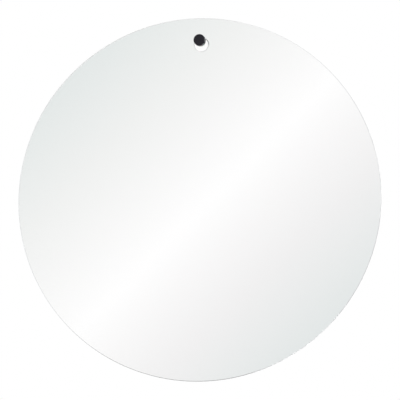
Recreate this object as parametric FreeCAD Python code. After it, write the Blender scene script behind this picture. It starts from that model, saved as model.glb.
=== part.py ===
"""Frameless round wall mirror, hung through a drilled hole near its top on a short turned wall peg.

Frame: origin on the wall's surface, on the axis of the peg. +Y goes into the wall, so the mirror
faces -Y, +X is to the right for a person looking into the mirror, and +Z is up. Millimetres.
"""
import FreeCAD, Part
import math
import os

V = FreeCAD.Vector
WALL_AXIS = V(0, 1, 0)

# Mirror disc
MIRROR_D = 610.0
GLASS_T = 4.0
EDGE_ARRIS = 0.6
HOLE_D = 22.8
HOLE_ARRIS = 0.6
HOLE_BELOW_TOP = 44.5

# Reflecting layer and its protective paint, on the back of the glass
SILVER_T = 0.1
PAINT_T = 0.1
LAYER_SETBACK = 0.1

# Clear bumpers that hold the mirror off the wall
BUMPER_D = 12.7
BUMPER_TIP_D = 10.6
BUMPER_T = 3.5
BUMPER_EDGE_R = 0.5
BUMPER_CIRCLE_R = 278.0
BUMPER_ANGLES = {
    "bumper_upper_right": 45.0,
    "bumper_upper_left": 135.0,
    "bumper_lower_left": 225.0,
    "bumper_lower_right": 315.0,
}

# Turned peg
PEG_REACH = 32.5
HEAD_D = 19.5
HEAD_L = 12.0
HEAD_FRONT_CHAMFER = 1.3
HEAD_REAR_CHAMFER = 0.4
NECK_D = 11.6
STUD_BORE_D = 8.0
STUD_BORE_L = 22.0
STUD_BORE_CONE = 2.0
MOUTH_D = 10.4
MOUTH_L = 1.5

# Nylon sleeve that turns on the neck and carries the glass
SLEEVE_D = 13.8
SLEEVE_BORE_D = 11.7
SLEEVE_END_GAP = 0.1
SLEEVE_CHAMFER = 0.4
HANG_GAP = 0.02

# Hanger bolt: machine thread in the peg, wood thread in the plug
BOLT_MACHINE_D = 7.9
BOLT_MACHINE_L = 19.5
BOLT_WOOD_D = 6.0
BOLT_WOOD_L = 46.0
BOLT_TIP_L = 7.0
BOLT_TIP_D = 1.2
BOLT_CHAMFER = 0.7
BOLT_SOCKET_AF = 4.0
BOLT_SOCKET_L = 3.5

# Nylon wall plug
PLUG_D = 10.0
PLUG_L = 50.0
PLUG_BORE_D = 6.1
PLUG_SLOT_W = 1.2
PLUG_SLOT_START = 14.0
PLUG_SLOT_TURN = 45.0
PLUG_TIP_CHAMFER = 1.0

# Places along Y, from the wall towards the room
paint_back = -BUMPER_T
silver_back = paint_back - PAINT_T
glass_back = silver_back - SILVER_T
glass_front = glass_back - GLASS_T
head_back = -(PEG_REACH - HEAD_L)
head_front = -PEG_REACH

# The hole's top rests on the sleeve, so the disc hangs below the peg's axis.
hole_z = SLEEVE_D / 2 + HANG_GAP - HOLE_D / 2
disc_z = hole_z - (MIRROR_D / 2 - HOLE_BELOW_TOP)


def turned(profile, x=0.0, z=0.0):
    """A solid of revolution about the line through (x, z) along Y, from (radius, y) points."""
    points = [V(x + radius, y, z) for radius, y in profile]
    wire = Part.makePolygon(points + points[:1])
    return Part.Face(wire).revolve(V(x, 0, z), WALL_AXIS, 360)


def cylinder(diameter, y_from, y_to, x=0.0, z=0.0):
    """A plain cylinder along Y between two places."""
    return Part.makeCylinder(diameter / 2, y_to - y_from, V(x, y_from, z), WALL_AXIS)


def pierced_disc(outer_d, inner_d, y_from, y_to):
    """A flat layer with the disc's outline and the hanging hole."""
    disc = cylinder(outer_d, y_from, y_to, z=disc_z)
    hole = cylinder(inner_d, y_from - 1, y_to + 1, z=hole_z)
    return disc.cut(hole)


def mirror_glass():
    """The float glass disc, with flat polished edges and small arrises all round."""
    rim = MIRROR_D / 2
    disc = turned(
        [
            (0, glass_front),
            (rim - EDGE_ARRIS, glass_front),
            (rim, glass_front + EDGE_ARRIS),
            (rim, glass_back - EDGE_ARRIS),
            (rim - EDGE_ARRIS, glass_back),
            (0, glass_back),
        ],
        z=disc_z,
    )
    bore = HOLE_D / 2
    hole = turned(
        [
            (0, glass_front),
            (bore + HOLE_ARRIS, glass_front),
            (bore, glass_front + HOLE_ARRIS),
            (bore, glass_back - HOLE_ARRIS),
            (bore + HOLE_ARRIS, glass_back),
            (0, glass_back),
        ],
        z=hole_z,
    )
    return disc.cut(hole)


def back_layer(y_from, y_to):
    """A coating on the back of the glass, which stops just short of the arrises."""
    outer_d = MIRROR_D - 2 * (EDGE_ARRIS + LAYER_SETBACK)
    inner_d = HOLE_D + 2 * (HOLE_ARRIS + LAYER_SETBACK)
    return pierced_disc(outer_d, inner_d, y_from, y_to)


def bumper(angle):
    """A clear stick-on bumper: a low cone with a rounded edge at its wall end."""
    x = BUMPER_CIRCLE_R * math.cos(math.radians(angle))
    z = disc_z + BUMPER_CIRCLE_R * math.sin(math.radians(angle))
    pad = Part.makeCone(BUMPER_D / 2, BUMPER_TIP_D / 2, BUMPER_T, V(x, paint_back, z), WALL_AXIS)
    wall_edges = [edge for edge in pad.Edges if abs(edge.BoundBox.YMin) < 1e-6]
    return pad.makeFillet(BUMPER_EDGE_R, wall_edges)


def peg_body():
    """The turned metal peg: head, neck, and a blind stud bore open at the wall end."""
    head = HEAD_D / 2
    neck = NECK_D / 2
    bore = STUD_BORE_D / 2
    mouth = MOUTH_D / 2
    return turned(
        [
            (0, head_front),
            (head - HEAD_FRONT_CHAMFER, head_front),
            (head, head_front + HEAD_FRONT_CHAMFER),
            (head, head_back - HEAD_REAR_CHAMFER),
            (head - HEAD_REAR_CHAMFER, head_back),
            (neck, head_back),
            (neck, 0),
            (mouth, 0),
            (mouth, -MOUTH_L),
            (bore, -MOUTH_L),
            (bore, -STUD_BORE_L),
            (0, -STUD_BORE_L - STUD_BORE_CONE),
        ]
    )


def peg_sleeve():
    """The nylon tube over the neck, thinner than the head, which keeps the mirror on it."""
    front = head_back + SLEEVE_END_GAP
    back = -SLEEVE_END_GAP
    outer = SLEEVE_D / 2
    inner = SLEEVE_BORE_D / 2
    return turned(
        [
            (inner, front),
            (outer - SLEEVE_CHAMFER, front),
            (outer, front + SLEEVE_CHAMFER),
            (outer, back - SLEEVE_CHAMFER),
            (outer - SLEEVE_CHAMFER, back),
            (inner, back),
        ]
    )


def hanger_bolt():
    """The double-ended stud, with plain shanks of the threads' sizes and a hex socket."""
    machine = BOLT_MACHINE_D / 2
    wood = BOLT_WOOD_D / 2
    stud = turned(
        [
            (0, -BOLT_MACHINE_L),
            (machine - BOLT_CHAMFER, -BOLT_MACHINE_L),
            (machine, -BOLT_MACHINE_L + BOLT_CHAMFER),
            (machine, -BOLT_CHAMFER),
            (wood, 0),
            (wood, BOLT_WOOD_L - BOLT_TIP_L),
            (BOLT_TIP_D / 2, BOLT_WOOD_L),
            (0, BOLT_WOOD_L),
        ]
    )
    corner = BOLT_SOCKET_AF / math.sqrt(3)
    start = -BOLT_MACHINE_L - 1
    hexagon = Part.makePolygon(
        [
            V(corner * math.cos(step * math.pi / 3), start, corner * math.sin(step * math.pi / 3))
            for step in range(7)
        ]
    )
    socket = Part.Face(hexagon).extrude(V(0, BOLT_SOCKET_L + 1, 0))
    return stud.cut(socket)


def wall_plug():
    """The nylon plug: a tube, split by two crossed slots into four legs that spread in the wall."""
    radius = PLUG_D / 2
    bore = PLUG_BORE_D / 2
    tube = turned(
        [
            (bore, 0),
            (radius, 0),
            (radius, PLUG_L - PLUG_TIP_CHAMFER),
            (radius - PLUG_TIP_CHAMFER, PLUG_L),
            (bore, PLUG_L),
        ]
    )
    length = PLUG_L - PLUG_SLOT_START + 1
    wide = V(-radius - 1, PLUG_SLOT_START, -PLUG_SLOT_W / 2)
    tall = V(-PLUG_SLOT_W / 2, PLUG_SLOT_START, -radius - 1)
    across = Part.makeBox(PLUG_D + 2, length, PLUG_SLOT_W, wide)
    upright = Part.makeBox(PLUG_SLOT_W, length, PLUG_D + 2, tall)
    cross = across.fuse(upright)
    cross.rotate(V(0, 0, 0), WALL_AXIS, PLUG_SLOT_TURN)
    return tube.cut(cross)


nodes = {
    "mirror_glass": mirror_glass(),
    "silver_film": back_layer(glass_back, silver_back),
    "backing_paint": back_layer(silver_back, paint_back),
    "peg_body": peg_body(),
    "peg_sleeve": peg_sleeve(),
    "hanger_bolt": hanger_bolt(),
    "wall_plug": wall_plug(),
}
for name, angle in BUMPER_ANGLES.items():
    nodes[name] = bumper(angle)

os.makedirs("parts", exist_ok=True)
for name, shape in nodes.items():
    shape.exportStep(f"parts/{name}.step")
    box = shape.BoundBox
    print(
        f"{name}: {shape.ShapeType}, valid {shape.isValid()}, {len(shape.Solids)} solid, "
        f"{shape.Volume:.1f} mm3, {box.XLength:.2f} x {box.YLength:.2f} x {box.ZLength:.2f}"
    )
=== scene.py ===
"""Looks of the frameless round mirror on its wall peg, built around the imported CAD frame. Metres."""
import math

import bpy
from mathutils import Matrix, Vector


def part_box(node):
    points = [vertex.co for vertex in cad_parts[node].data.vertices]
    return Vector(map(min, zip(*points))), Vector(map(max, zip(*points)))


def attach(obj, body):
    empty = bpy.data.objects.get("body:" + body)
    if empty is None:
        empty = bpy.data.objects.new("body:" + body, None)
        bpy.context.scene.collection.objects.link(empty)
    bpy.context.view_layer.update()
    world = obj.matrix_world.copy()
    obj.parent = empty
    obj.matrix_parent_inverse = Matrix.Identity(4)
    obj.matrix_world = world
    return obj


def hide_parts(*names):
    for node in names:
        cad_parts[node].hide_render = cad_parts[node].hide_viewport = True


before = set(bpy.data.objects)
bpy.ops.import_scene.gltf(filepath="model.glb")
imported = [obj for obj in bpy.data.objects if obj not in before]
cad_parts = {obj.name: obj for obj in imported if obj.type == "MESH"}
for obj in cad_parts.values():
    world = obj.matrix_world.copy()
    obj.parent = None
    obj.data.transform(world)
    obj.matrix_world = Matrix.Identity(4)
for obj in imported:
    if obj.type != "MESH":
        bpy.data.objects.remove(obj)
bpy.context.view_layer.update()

MM = 0.001

# ---------------------------------------------------------------------------------------------
# Sizes that the pieces share, from the frame
# ---------------------------------------------------------------------------------------------
glass_low, glass_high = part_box("mirror_glass")
silver_low, silver_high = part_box("silver_film")
paint_low, paint_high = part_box("backing_paint")
peg_low, peg_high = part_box("peg_body")
sleeve_low, sleeve_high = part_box("peg_sleeve")
stud_low, stud_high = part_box("hanger_bolt")
plug_low, plug_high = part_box("wall_plug")

RIM_R = (glass_high.z - glass_low.z) / 2
LAYER_R = (silver_high.z - silver_low.z) / 2
DISC_CENTRE = Vector((0, 0, (glass_high.z + glass_low.z) / 2))
HOLE_R = 11.4 * MM
LAYER_HOLE_R = 12.1 * MM
HANG_GAP = 0.02 * MM
HOLE_CENTRE = Vector((0, 0, sleeve_high.z + HANG_GAP - HOLE_R))


# ---------------------------------------------------------------------------------------------
# Meshes
# ---------------------------------------------------------------------------------------------
def rounded(outline, radius, steps=4, closed=False):
    """An outline of (r, y) points with each inner corner replaced by a small arc."""
    points = [Vector(p) for p in outline]
    count = len(points)
    result = []
    for i, corner in enumerate(points):
        if not closed and i in (0, count - 1):
            result.append(corner)
            continue
        before = points[i - 1] - corner
        after = points[(i + 1) % count] - corner
        reach = min(radius, before.length * 0.45, after.length * 0.45)
        start = corner + before.normalized() * reach
        end = corner + after.normalized() * reach
        for step in range(steps + 1):
            t = step / steps
            result.append(start * (1 - t) ** 2 + corner * 2 * t * (1 - t) + end * t**2)
    return [tuple(p) for p in result]


def finish_mesh(name, vertices, faces, flat_faces=(), sharp_degrees=40):
    """A mesh object, smooth but for its flat faces and its sharp edges."""
    mesh = bpy.data.meshes.new(name)
    mesh.from_pydata(vertices, [], faces)
    mesh.validate()
    for polygon in mesh.polygons:
        polygon.use_smooth = True
    for index in flat_faces:
        mesh.polygons[index].use_smooth = False
    mesh.set_sharp_from_angle(angle=math.radians(sharp_degrees))
    piece = bpy.data.objects.new(name, mesh)
    bpy.context.scene.collection.objects.link(piece)
    return piece


def ring_point(centre, radius, y, angle):
    """A point on a circle about an axis along Y."""
    return (centre.x + radius * math.cos(angle), y, centre.z + radius * math.sin(angle))


def turned(name, outline, segments=96, centre=Vector((0, 0, 0)), closed=False, sharp_degrees=40):
    """A lathe-turned piece about an axis along Y, from an outline of (radius, y) points.

    An open outline starts and ends on the axis. A closed one goes round a tube's wall.
    """
    vertices, rings = [], []
    for radius, y in outline:
        if radius < 1e-7:
            rings.append([len(vertices)] * segments)
            vertices.append((centre.x, y, centre.z))
            continue
        rings.append(list(range(len(vertices), len(vertices) + segments)))
        for step in range(segments):
            vertices.append(ring_point(centre, radius, y, math.tau * step / segments))
    faces = []
    pairs = list(zip(rings, rings[1:]))
    if closed:
        pairs.append((rings[-1], rings[0]))
    for lower, upper in pairs:
        for step in range(segments):
            after = (step + 1) % segments
            loop = [lower[step], upper[step], upper[after], lower[after]]
            corners = list(dict.fromkeys(loop))
            if len(corners) > 2:
                faces.append(corners)
    return finish_mesh(name, vertices, faces, sharp_degrees=sharp_degrees)


def pierced_plate(name, rim, bore, y_front, y_back, segments=360, spokes=8):
    """A round plate with an off-centre hole, as rings that go out over the front, round the rim,
    in over the back and through the hole. rim and bore are (radius, y) from front to back."""
    vertices, faces, flat = [], [], []
    loop = []

    def add_ring(centre, radius, y):
        loop.append(len(vertices))
        for step in range(segments):
            vertices.append(ring_point(centre, radius, y, math.tau * step / segments))

    def add_face_rings(inside, outside, y):
        for spoke in range(1, spokes):
            t = (spoke / spokes) ** 1.6
            centre = HOLE_CENTRE.lerp(DISC_CENTRE, t)
            add_ring(centre, inside + (outside - inside) * t, y)

    front_start = len(loop)
    add_ring(HOLE_CENTRE, bore[0][0], y_front)
    add_face_rings(bore[0][0], rim[0][0], y_front)
    add_ring(DISC_CENTRE, rim[0][0], y_front)
    front_end = len(loop) - 1
    for radius, y in rim[1:-1]:
        add_ring(DISC_CENTRE, radius, y)
    back_start = len(loop)
    add_ring(DISC_CENTRE, rim[-1][0], y_back)
    back_rings = len(loop)
    add_face_rings(bore[-1][0], rim[-1][0], y_back)
    loop[back_rings:] = reversed(loop[back_rings:])
    add_ring(HOLE_CENTRE, bore[-1][0], y_back)
    back_end = len(loop) - 1
    for radius, y in reversed(bore[1:-1]):
        add_ring(HOLE_CENTRE, radius, y)
    for index, first in enumerate(loop):
        second = loop[(index + 1) % len(loop)]
        is_flat = front_start <= index < front_end or back_start <= index < back_end
        for step in range(segments):
            after = (step + 1) % segments
            if is_flat:
                flat.append(len(faces))
            faces.append([first + step, second + step, second + after, first + after])
    return finish_mesh(name, vertices, faces, flat_faces=flat)


def smoothstep(low, high, value):
    """0 below low, 1 above high, and an S-curve between them."""
    t = max(0.0, min(1.0, (value - low) / (high - low)))
    return t * t * (3 - 2 * t)


def thread_height(phase, crest_share):
    """How far up its flank a thread is, from 0 at the root to 1 at the crest."""
    distance = abs((phase % 1.0) - 0.5) * 2
    return max(0.0, min(1.0, (1 - distance) / (1 - crest_share)))


def threaded_stud(name):
    """The hanger bolt: a metric thread in the peg, a plain waist, and a coarse wood thread."""
    segments = 64
    machine_core, machine_crest, machine_pitch = 3.3 * MM, 3.95 * MM, 1.25 * MM
    wood_core, wood_crest, wood_pitch = 2.45 * MM, 3.04 * MM, 3.0 * MM
    waist_from, waist_to = -3.0 * MM, 4.0 * MM
    tip_length, tip_r = 8.0 * MM, 0.35 * MM
    start, end = stud_low.y, stud_high.y
    stations = []
    y = start
    while y < waist_from:
        stations.append(y)
        y += machine_pitch / 12
    stations += [waist_from, 0.0]
    y = waist_to
    while y < end - wood_pitch / 36:
        stations.append(y)
        y += wood_pitch / 18
    stations.append(end)
    vertices = [(0, start, 0)]
    for y in stations:
        for step in range(segments):
            angle = math.tau * step / segments
            turn = step / segments
            if y <= 0:
                fade = smoothstep(start, start + machine_pitch, y)
                fade *= 1 - smoothstep(waist_from - machine_pitch, waist_from, y)
                lift = thread_height(y / machine_pitch - turn, 0.12)
                radius = machine_core + (machine_crest - machine_core) * lift * fade
            else:
                taper = smoothstep(0, tip_length, end - y)
                fade = smoothstep(waist_to, waist_to + wood_pitch, y)
                lift = thread_height(y / wood_pitch - turn, 0.05) ** 2.2
                full = wood_core + (wood_crest - wood_core) * lift * fade
                radius = tip_r + (full - tip_r) * taper
            vertices.append(ring_point(Vector((0, 0, 0)), radius, y, angle))
    vertices.append((0, end, 0))
    faces = []
    for step in range(segments):
        after = (step + 1) % segments
        faces.append([0, 1 + step, 1 + after])
        last = 1 + (len(stations) - 1) * segments
        faces.append([last + after, last + step, len(vertices) - 1])
        for row in range(len(stations) - 1):
            low = 1 + row * segments
            high = low + segments
            faces.append([low + step, high + step, high + after, low + after])
    return finish_mesh(name, vertices, faces, sharp_degrees=60)


def ribbed_plug(name):
    """The nylon plug: a ridged tube with two crossed slots that part its four legs."""
    outer, bore = 5.0 * MM, 3.05 * MM
    slot_width, slot_from = 1.2 * MM, 14.0 * MM
    ridge_pitch, ridge_depth = 3.0 * MM, 0.45 * MM
    length = plug_high.y
    outline = [(bore, 0.0), (outer, 0.0), (outer, slot_from * 0.7)]
    y = slot_from * 0.7
    while y + ridge_pitch < length - 3 * MM:
        outline.append((outer - ridge_depth, y + 0.25 * ridge_pitch))
        outline.append((outer, y + ridge_pitch))
        y += ridge_pitch
    outline += [(outer - 0.2 * MM, length - 2 * MM), (outer - 1.0 * MM, length), (bore, length)]
    plug = turned(name, rounded(outline, 0.15 * MM, steps=2, closed=True), segments=72, closed=True)
    cutters = []
    for turn in (45, 135):
        half = Vector((slot_width / 2, (length - slot_from) / 2 + MM, outer + MM))
        vertices = []
        for x in (-1, 1):
            for y in (-1, 1):
                for z in (-1, 1):
                    vertices.append((x * half.x, slot_from + half.y + y * half.y, z * half.z))
        faces = [(0, 1, 3, 2), (4, 6, 7, 5), (0, 4, 5, 1), (2, 3, 7, 6), (0, 2, 6, 4), (1, 5, 7, 3)]
        cutter = finish_mesh(f"slot_{turn}", vertices, faces)
        cutter.matrix_world = Matrix.Rotation(math.radians(turn), 4, "Y")
        cut = plug.modifiers.new("slot", "BOOLEAN")
        cut.operation = "DIFFERENCE"
        cut.object = cutter
        cutters.append(cutter)
    bpy.context.view_layer.update()
    graph = bpy.context.evaluated_depsgraph_get()
    cut_mesh = bpy.data.meshes.new_from_object(plug.evaluated_get(graph), depsgraph=graph)
    plug.modifiers.clear()
    plug.data = cut_mesh
    plug.data.set_sharp_from_angle(angle=math.radians(35))
    for cutter in cutters:
        bpy.data.objects.remove(cutter)
    return plug


# ---------------------------------------------------------------------------------------------
# Materials
# ---------------------------------------------------------------------------------------------
def new_material(name):
    """An empty node material, its tree, and its output node."""
    material = bpy.data.materials.new(name)
    material.use_nodes = True
    tree = material.node_tree
    tree.nodes.clear()
    return material, tree, tree.nodes.new("ShaderNodeOutputMaterial")


def principled(tree, output, **sockets):
    """A Principled shader wired to the surface, with plain values on its own sockets."""
    shader = tree.nodes.new("ShaderNodeBsdfPrincipled")
    for socket, value in sockets.items():
        shader.inputs[socket.replace("_", " ")].default_value = value
    tree.links.new(shader.outputs["BSDF"], output.inputs["Surface"])
    return shader


def noise(tree, scale, detail=4.0, roughness=0.55, stretch=(1, 1, 1)):
    """A noise in object space, in features per metre, which can be stretched along an axis."""
    place = tree.nodes.new("ShaderNodeTexCoord")
    mapping = tree.nodes.new("ShaderNodeMapping")
    mapping.inputs["Scale"].default_value = stretch
    texture = tree.nodes.new("ShaderNodeTexNoise")
    texture.inputs["Scale"].default_value = scale
    texture.inputs["Detail"].default_value = detail
    texture.inputs["Roughness"].default_value = roughness
    tree.links.new(place.outputs["Object"], mapping.inputs["Vector"])
    tree.links.new(mapping.outputs["Vector"], texture.inputs["Vector"])
    return texture.outputs["Fac"]


def ramp(tree, source, *stops):
    """A colour ramp over source, from (position, colour or grey) stops."""
    node = tree.nodes.new("ShaderNodeValToRGB")
    elements = node.color_ramp.elements
    while len(elements) < len(stops):
        elements.new(1.0)
    for element, (position, value) in zip(elements, stops):
        element.position = position
        colour = (value,) * 3 if isinstance(value, (int, float)) else value
        element.color = (*colour, 1.0)
    tree.links.new(source, node.inputs["Fac"])
    return node.outputs["Color"]


def maths(tree, operation, first, second=None, third=None):
    """One Math node. Inputs are sockets or plain numbers."""
    node = tree.nodes.new("ShaderNodeMath")
    node.operation = operation
    for index, value in enumerate((first, second, third)):
        if value is None:
            continue
        if isinstance(value, (int, float)):
            node.inputs[index].default_value = value
        else:
            tree.links.new(value, node.inputs[index])
    return node.outputs[0]


def bump(tree, shader, height, distance, strength=1.0):
    """Wires a height to the shader's normal, with its real height in metres."""
    node = tree.nodes.new("ShaderNodeBump")
    node.inputs["Distance"].default_value = distance
    node.inputs["Strength"].default_value = strength
    tree.links.new(height, node.inputs["Height"])
    tree.links.new(node.outputs["Normal"], shader.inputs["Normal"])


def distance_from_axis(tree):
    """The distance in metres from the peg's axis, which lies along Y through the origin."""
    place = tree.nodes.new("ShaderNodeTexCoord")
    split = tree.nodes.new("ShaderNodeSeparateXYZ")
    tree.links.new(place.outputs["Object"], split.inputs[0])
    squared = maths(tree, "MULTIPLY_ADD", split.outputs["X"], split.outputs["X"],
                    maths(tree, "MULTIPLY", split.outputs["Z"], split.outputs["Z"]))
    return maths(tree, "SQRT", squared), split.outputs["Y"]


def clear_glass():
    """Float glass: clear through its thickness, and sea-green where light runs along the sheet."""
    material, tree, output = new_material("float_glass")
    principled(tree, output, Base_Color=(1, 1, 1, 1), Roughness=0.0, IOR=1.52, Transmission_Weight=1.0)
    absorb = tree.nodes.new("ShaderNodeVolumeAbsorption")
    absorb.inputs["Color"].default_value = (0.35, 0.88, 0.75, 1)
    absorb.inputs["Density"].default_value = 3.0
    tree.links.new(absorb.outputs["Volume"], output.inputs["Volume"])
    return material


def silver():
    """Silver on glass: a perfect mirror."""
    material, tree, output = new_material("silver")
    principled(tree, output, Base_Color=(0.955, 0.96, 0.955, 1), Metallic=1.0, Roughness=0.0)
    return material


def grey_lacquer():
    """The curtain-coated paint on a mirror's back: faint streaks and orange peel."""
    material, tree, output = new_material("grey_lacquer")
    shader = principled(tree, output, Specular_IOR_Level=0.4)
    streaks = noise(tree, 9.0, detail=5, stretch=(0.15, 1, 1))
    cloud = noise(tree, 5.0, detail=3)
    mixed = maths(tree, "ADD", maths(tree, "MULTIPLY", streaks, 0.6), maths(tree, "MULTIPLY", cloud, 0.4))
    colour = ramp(tree, mixed, (0.30, (0.205, 0.225, 0.232)), (0.72, (0.262, 0.285, 0.292)))
    tree.links.new(colour, shader.inputs["Base Color"])
    rough = ramp(tree, noise(tree, 60.0, detail=3), (0.3, 0.40), (0.7, 0.52))
    tree.links.new(rough, shader.inputs["Roughness"])
    bump(tree, shader, noise(tree, 900.0, detail=2), distance=0.02 * MM)
    return material


def oiled_bronze():
    """Near-black turned metal, with fine tool marks on the end."""
    material, tree, output = new_material("oiled_bronze")
    shader = principled(tree, output, Specular_IOR_Level=0.28)
    radius, along = distance_from_axis(tree)
    grain = noise(tree, 700.0, detail=5)
    patina = noise(tree, 160.0, detail=4)
    dark = ramp(tree, patina, (0.30, (0.0070, 0.0062, 0.0115)), (0.70, (0.0125, 0.0112, 0.0170)))
    tree.links.new(dark, shader.inputs["Base Color"])
    rough = ramp(tree, grain, (0.30, 0.20), (0.70, 0.30))
    tree.links.new(rough, shader.inputs["Roughness"])
    marks = maths(tree, "SINE", maths(tree, "MULTIPLY", radius, math.tau / (0.35 * MM)))
    rings = maths(tree, "SINE", maths(tree, "MULTIPLY", along, math.tau / (0.40 * MM)))
    height = maths(tree, "ADD", maths(tree, "MULTIPLY", maths(tree, "ADD", marks, rings), 0.25), grain)
    bump(tree, shader, height, distance=0.006 * MM)
    return material


def milky_nylon():
    """Natural nylon: milky, with light soaking a little way in."""
    material, tree, output = new_material("milky_nylon")
    shader = principled(
        tree, output, Subsurface_Weight=0.35, Subsurface_Scale=2.0 * MM, Specular_IOR_Level=0.45
    )
    colour = ramp(tree, noise(tree, 260.0, detail=3), (0.3, (0.80, 0.80, 0.76)), (0.7, (0.86, 0.86, 0.83)))
    tree.links.new(colour, shader.inputs["Base Color"])
    rough = ramp(tree, noise(tree, 900.0, detail=2), (0.3, 0.36), (0.7, 0.48))
    tree.links.new(rough, shader.inputs["Roughness"])
    bump(tree, shader, noise(tree, 1500.0, detail=3), distance=0.01 * MM)
    return material


def zinc_plate():
    """Bright zinc on steel, a little blue and cloudy."""
    material, tree, output = new_material("zinc_plate")
    shader = principled(tree, output, Metallic=1.0)
    colour = ramp(tree, noise(tree, 300.0), (0.3, (0.50, 0.52, 0.54)), (0.7, (0.68, 0.69, 0.68)))
    tree.links.new(colour, shader.inputs["Base Color"])
    rough = ramp(tree, noise(tree, 800.0), (0.3, 0.22), (0.7, 0.38))
    tree.links.new(rough, shader.inputs["Roughness"])
    return material


def plug_nylon():
    """The moulded natural nylon of the plug."""
    material, tree, output = new_material("plug_nylon")
    shader = principled(tree, output, Subsurface_Weight=0.2, Subsurface_Scale=1.0 * MM)
    colour = ramp(tree, noise(tree, 220.0, detail=3), (0.3, (0.80, 0.81, 0.80)), (0.7, (0.88, 0.89, 0.88)))
    tree.links.new(colour, shader.inputs["Base Color"])
    rough = ramp(tree, noise(tree, 700.0, detail=2), (0.3, 0.42), (0.7, 0.55))
    tree.links.new(rough, shader.inputs["Roughness"])
    bump(tree, shader, noise(tree, 1200.0, detail=3), distance=0.015 * MM)
    return material


def clear_urethane():
    """Soft clear polyurethane, slightly hazy: the paint shows through it, and it takes a bright gloss."""
    material, tree, output = new_material("clear_urethane")
    shader = principled(tree, output, Base_Color=(0.72, 0.75, 0.75, 1), IOR=1.49, Alpha=0.42)
    haze = ramp(tree, noise(tree, 500.0, detail=3), (0.3, 0.06), (0.7, 0.16))
    tree.links.new(haze, shader.inputs["Roughness"])
    return material


def dress(piece, material, body, nodes):
    """Gives a new piece its material, its body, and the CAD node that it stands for."""
    piece.data.materials.clear()
    piece.data.materials.append(material)
    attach(piece, body)
    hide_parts(*nodes)
    return piece


# ---------------------------------------------------------------------------------------------
# The mirror
# ---------------------------------------------------------------------------------------------
EDGE_ARRIS = 0.6 * MM
HOLE_ARRIS = 0.6 * MM
POLISH_R = 0.18 * MM
GLASS_FRONT = glass_low.y
GLASS_BACK = glass_high.y

rim = rounded(
    [
        (RIM_R - 2 * EDGE_ARRIS, GLASS_FRONT),
        (RIM_R - EDGE_ARRIS, GLASS_FRONT),
        (RIM_R, GLASS_FRONT + EDGE_ARRIS),
        (RIM_R, GLASS_BACK - EDGE_ARRIS),
        (RIM_R - EDGE_ARRIS, GLASS_BACK),
        (RIM_R - 2 * EDGE_ARRIS, GLASS_BACK),
    ],
    POLISH_R,
)
bore = rounded(
    [
        (HOLE_R + 2 * HOLE_ARRIS, GLASS_FRONT),
        (HOLE_R + HOLE_ARRIS, GLASS_FRONT),
        (HOLE_R, GLASS_FRONT + HOLE_ARRIS),
        (HOLE_R, GLASS_BACK - HOLE_ARRIS),
        (HOLE_R + HOLE_ARRIS, GLASS_BACK),
        (HOLE_R + 2 * HOLE_ARRIS, GLASS_BACK),
    ],
    POLISH_R,
)
glass = pierced_plate("float_glass_disc", rim, bore, GLASS_FRONT, GLASS_BACK)
dress(glass, clear_glass(), "mirror", ["mirror_glass"])

# The silver is bonded to the glass with no air between them, so its face lies a hair inside it.
BOND = 0.03 * MM


def layer(name, y_front, y_back):
    """A coating on the back of the glass, with a square edge at its rim and its hole."""
    return pierced_plate(
        name,
        [(LAYER_R, y_front), (LAYER_R, y_back)],
        [(LAYER_HOLE_R, y_front), (LAYER_HOLE_R, y_back)],
        y_front,
        y_back,
    )


silver_layer = layer("silver_layer", GLASS_BACK - BOND, silver_high.y)
dress(silver_layer, silver(), "mirror", ["silver_film"])
paint_layer = layer("back_paint", paint_low.y, paint_high.y)
dress(paint_layer, grey_lacquer(), "mirror", ["backing_paint"])

urethane = clear_urethane()
for side in ("upper_right", "upper_left", "lower_left", "lower_right"):
    low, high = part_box(f"bumper_{side}")
    middle = Vector(((low.x + high.x) / 2, 0, (low.z + high.z) / 2))
    foot = (high.z - low.z) / 2
    outline = [
        (0, low.y),
        (foot, low.y),
        (foot - 0.35 * MM, low.y + 1.0 * MM),
        (foot - 1.05 * MM, high.y),
        (0, high.y - 0.12 * MM),
    ]
    pad = turned(f"bumper_pad_{side}", rounded(outline, 0.5 * MM, steps=6), segments=64, centre=middle)
    dress(pad, urethane, "mirror", [f"bumper_{side}"])

# ---------------------------------------------------------------------------------------------
# The peg and its fixing
# ---------------------------------------------------------------------------------------------
HEAD_R = (peg_high.z - peg_low.z) / 2
HEAD_LENGTH = 12.0 * MM
HEAD_BACK = peg_low.y + HEAD_LENGTH
HEAD_FRONT_CHAMFER = 1.3 * MM
HEAD_REAR_CHAMFER = 0.4 * MM
NECK_R = 5.8 * MM
MOUTH_R = 5.2 * MM
MOUTH_DEPTH = 1.5 * MM
STUD_BORE_R = 4.0 * MM
STUD_BORE_DEPTH = 22.0 * MM
STUD_BORE_CONE = 2.0 * MM
peg_outline = [
    (0, peg_low.y + 0.05 * MM),
    (HEAD_R - HEAD_FRONT_CHAMFER, peg_low.y),
    (HEAD_R, peg_low.y + HEAD_FRONT_CHAMFER),
    (HEAD_R, HEAD_BACK - HEAD_REAR_CHAMFER),
    (HEAD_R - HEAD_REAR_CHAMFER, HEAD_BACK),
    (NECK_R, HEAD_BACK),
    (NECK_R, peg_high.y),
    (MOUTH_R, peg_high.y),
    (MOUTH_R, peg_high.y - MOUTH_DEPTH),
    (STUD_BORE_R, peg_high.y - MOUTH_DEPTH),
    (STUD_BORE_R, peg_high.y - STUD_BORE_DEPTH),
    (0, peg_high.y - STUD_BORE_DEPTH - STUD_BORE_CONE),
]
peg = turned("turned_peg", rounded(peg_outline, 0.25 * MM, steps=5), segments=128)
dress(peg, oiled_bronze(), "wall_peg", ["peg_body"])

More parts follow.
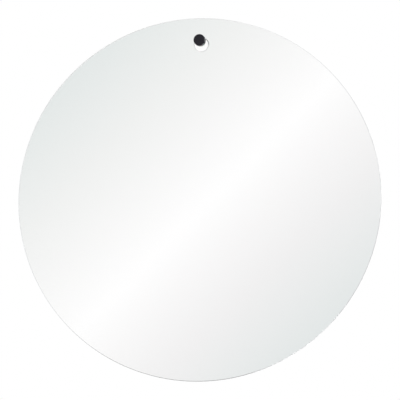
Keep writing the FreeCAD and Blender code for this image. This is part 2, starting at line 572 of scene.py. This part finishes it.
SLEEVE_R = (sleeve_high.z - sleeve_low.z) / 2
SLEEVE_BORE_R = 5.85 * MM
SLEEVE_CHAMFER = 0.4 * MM
sleeve_outline = [
    (SLEEVE_BORE_R, sleeve_low.y),
    (SLEEVE_R - SLEEVE_CHAMFER, sleeve_low.y),
    (SLEEVE_R, sleeve_low.y + SLEEVE_CHAMFER),
    (SLEEVE_R, sleeve_high.y - SLEEVE_CHAMFER),
    (SLEEVE_R - SLEEVE_CHAMFER, sleeve_high.y),
    (SLEEVE_BORE_R, sleeve_high.y),
]
sleeve = turned("nylon_sleeve", rounded(sleeve_outline, 0.3 * MM, closed=True), segments=128, closed=True)
dress(sleeve, milky_nylon(), "sleeve", ["peg_sleeve"])

dress(threaded_stud("threaded_stud"), zinc_plate(), "wall_peg", ["hanger_bolt"])
dress(ribbed_plug("ribbed_plug"), plug_nylon(), "wall_peg", ["wall_plug"])

# ---------------------------------------------------------------------------------------------
# Camera, on the photograph's side: a little to the right of the mirror and below it
# ---------------------------------------------------------------------------------------------
CAMERA_AZIMUTH = math.radians(7.7)
CAMERA_ELEVATION = math.radians(-7.0)
CAMERA_ROLL = math.radians(0.68)
AIM_OFFSET = Vector((1.28 * MM, 0, -1.30 * MM))
CAMERA_DISTANCE = 12.0
FRAME_SHARE = 0.915


def direction(azimuth, elevation):
    """The unit vector from the mirror towards a point at that azimuth and elevation."""
    return Vector((
        math.sin(azimuth) * math.cos(elevation),
        -math.cos(azimuth) * math.cos(elevation),
        math.sin(elevation),
    ))


aim = DISC_CENTRE + Vector((0, GLASS_FRONT, 0)) + AIM_OFFSET
back = direction(CAMERA_AZIMUTH, CAMERA_ELEVATION)
camera = bpy.data.objects.new("camera", bpy.data.cameras.new("camera"))
camera.location = aim + back * CAMERA_DISTANCE
facing = (-back).to_track_quat("-Z", "Y").to_matrix().to_4x4()
camera.matrix_world = (
    Matrix.Translation(aim + back * CAMERA_DISTANCE) @ facing @ Matrix.Rotation(CAMERA_ROLL, 4, "Z")
)
view_width = 2 * RIM_R / FRAME_SHARE
camera.data.sensor_width = 36.0
camera.data.lens = camera.data.sensor_width * CAMERA_DISTANCE / view_width
camera.data.clip_start = 0.1
camera.data.clip_end = 60.0
bpy.context.scene.collection.objects.link(camera)
bpy.context.scene.camera = camera

# ---------------------------------------------------------------------------------------------
# Studio
# ---------------------------------------------------------------------------------------------
FLOOR_Z = -1.8
FLOOR_R = 9.5

floor = turned("floor", [(0, 0), (FLOOR_R, 0)], segments=96)
floor.matrix_world = Matrix.Translation((0, 0, FLOOR_Z)) @ Matrix.Rotation(math.radians(90), 4, "X")
floor_material, tree, output = new_material("pale_floor")
principled(tree, output, Base_Color=(0.72, 0.72, 0.71, 1), Roughness=0.7)
floor.data.materials.append(floor_material)


def wall_card():
    """A white card in the wall's plane, close round the peg. It is what shows through the hole in
    place of the wall, and it is clear from behind, so it never hides the plug and the stud."""
    card = turned("wall_card", [(0, 0.02 * MM), (22.0 * MM, 0.02 * MM)])
    if card.data.polygons[0].normal.y > 0:
        card.data.flip_normals()
    material, tree, output = new_material("wall_card")
    glow = tree.nodes.new("ShaderNodeEmission")
    clear = tree.nodes.new("ShaderNodeBsdfTransparent")
    side = tree.nodes.new("ShaderNodeNewGeometry")
    mix = tree.nodes.new("ShaderNodeMixShader")
    tree.links.new(side.outputs["Backfacing"], mix.inputs["Fac"])
    tree.links.new(glow.outputs["Emission"], mix.inputs[1])
    tree.links.new(clear.outputs["BSDF"], mix.inputs[2])
    tree.links.new(mix.outputs["Shader"], output.inputs["Surface"])
    card.data.materials.append(material)


def softbox_card():
    """A card in front of the mirror, where the camera sees its reflection: one broad diagonal
    strip of light that fades evenly to both sides."""
    distance = 4.0
    half = 0.75
    towards = direction(-CAMERA_AZIMUTH, -CAMERA_ELEVATION)
    mesh = bpy.data.meshes.new("softbox_card")
    corners = [(-half, -half, 0), (half, -half, 0), (half, half, 0), (-half, half, 0)]
    mesh.from_pydata(corners, [], [(0, 1, 2, 3)])
    card = bpy.data.objects.new("softbox_card", mesh)
    bpy.context.scene.collection.objects.link(card)
    across = Vector((1, 0, -1)).normalized()
    normal = -towards
    along = normal.cross(across).normalized()
    across = along.cross(normal).normalized()
    turn = Matrix((across, along, normal)).transposed().to_4x4()
    card.matrix_world = Matrix.Translation(aim + towards * distance) @ turn
    material, tree, output = new_material("softbox_card")
    middle = tree.nodes.new("ShaderNodeVectorMath")
    middle.operation = "LENGTH"
    place = tree.nodes.new("ShaderNodeTexCoord")
    split = tree.nodes.new("ShaderNodeSeparateXYZ")
    tree.links.new(place.outputs["Object"], split.inputs[0])
    magnified = (CAMERA_DISTANCE + distance) / CAMERA_DISTANCE
    share = maths(tree, "MULTIPLY_ADD", split.outputs["X"], 0.5 / (RIM_R * magnified), 0.5)
    colour = ramp(
        tree, share,
        (0.00, (0.748, 0.770, 0.770)),
        (0.23, (0.851, 0.845, 0.844)),
        (0.37, (0.910, 0.895, 0.899)),
        (0.52, (0.974, 0.955, 0.963)),
        (0.64, (0.914, 0.893, 0.901)),
        (0.77, (0.852, 0.834, 0.842)),
        (1.00, (0.742, 0.762, 0.764)),
    )
    glow = tree.nodes.new("ShaderNodeEmission")
    glow.inputs["Strength"].default_value = 1.096
    tree.links.new(colour, glow.inputs["Color"])
    tree.links.new(place.outputs["Object"], middle.inputs[0])
    fade = ramp(tree, middle.outputs["Value"], (0.5, 0.0), (half, 1.0))
    clear = tree.nodes.new("ShaderNodeBsdfTransparent")
    mix = tree.nodes.new("ShaderNodeMixShader")
    tree.links.new(fade, mix.inputs["Fac"])
    tree.links.new(glow.outputs["Emission"], mix.inputs[1])
    tree.links.new(clear.outputs["BSDF"], mix.inputs[2])
    tree.links.new(mix.outputs["Shader"], output.inputs["Surface"])
    mesh.materials.append(material)
    card.visible_camera = False
    card.visible_shadow = False


FLAG_DISTANCE = 3.0


def black_flag():
    """A black flag above the camera, which the polished rim shows as a thin dark line. The mirror itself
    shows it only to a camera far below."""
    half_width, half_height = 0.85, 0.40
    mesh = bpy.data.meshes.new("black_flag")
    corners = [(-half_width, -half_height, 0), (half_width, -half_height, 0),
               (half_width, half_height, 0), (-half_width, half_height, 0)]
    mesh.from_pydata(corners, [], [(0, 1, 2, 3)])
    flag = bpy.data.objects.new("black_flag", mesh)
    bpy.context.scene.collection.objects.link(flag)
    towards = direction(math.radians(1.5), math.radians(31.5))
    facing = towards.to_track_quat("Z", "Y").to_matrix().to_4x4()
    flag.matrix_world = Matrix.Translation(aim + towards * FLAG_DISTANCE) @ facing
    material, tree, output = new_material("black_flag")
    principled(tree, output, Base_Color=(0.02, 0.02, 0.02, 1), Roughness=0.9)
    mesh.materials.append(material)
    flag.visible_camera = False
    flag.visible_shadow = False
    flag.visible_diffuse = False


def area_light(name, azimuth, elevation, distance, size, power):
    """A square softbox that faces the mirror."""
    light = bpy.data.lights.new(name, "AREA")
    light.shape = "SQUARE"
    light.size = size
    light.energy = power
    lamp = bpy.data.objects.new(name, light)
    towards = direction(math.radians(azimuth), math.radians(elevation))
    lamp.location = aim + towards * distance
    lamp.rotation_mode = "QUATERNION"
    lamp.rotation_quaternion = towards.to_track_quat("Z", "Y")
    bpy.context.scene.collection.objects.link(lamp)
    lamp.visible_camera = False
    return lamp


wall_card()
softbox_card()
black_flag()
area_light("key", -50, 45, 3.0, 1.4, 25.0)
area_light("side", 82, 14, 2.0, 1.2, 25.0)

world = bpy.data.worlds.new("studio")
bpy.context.scene.world = world
world.use_nodes = True
tree = world.node_tree
tree.nodes.clear()
output = tree.nodes.new("ShaderNodeOutputWorld")
seen = tree.nodes.new("ShaderNodeBackground")
lit = tree.nodes.new("ShaderNodeBackground")
lit.inputs["Strength"].default_value = 1.2
place = tree.nodes.new("ShaderNodeTexCoord")
lean = tree.nodes.new("ShaderNodeVectorMath")
lean.operation = "DOT_PRODUCT"
lean.inputs[1].default_value = (0.0, 0.80, 0.60)
tree.links.new(place.outputs["Generated"], lean.inputs[0])
share = maths(tree, "MULTIPLY_ADD", lean.outputs["Value"], 0.5, 0.5)
dome = ramp(tree, share, (0.10, (0.44, 0.45, 0.46)), (0.50, (0.62, 0.63, 0.64)), (0.85, (1.0, 1.0, 1.0)))
tree.links.new(dome, lit.inputs["Color"])
path = tree.nodes.new("ShaderNodeLightPath")
mix = tree.nodes.new("ShaderNodeMixShader")
tree.links.new(path.outputs["Is Camera Ray"], mix.inputs["Fac"])
tree.links.new(lit.outputs["Background"], mix.inputs[1])
tree.links.new(seen.outputs["Background"], mix.inputs[2])
tree.links.new(mix.outputs["Shader"], output.inputs["Surface"])
seen.inputs["Color"].default_value = (1, 1, 1, 1)
seen.inputs["Strength"].default_value = 1.0

bpy.context.scene.view_settings.view_transform = "Standard"
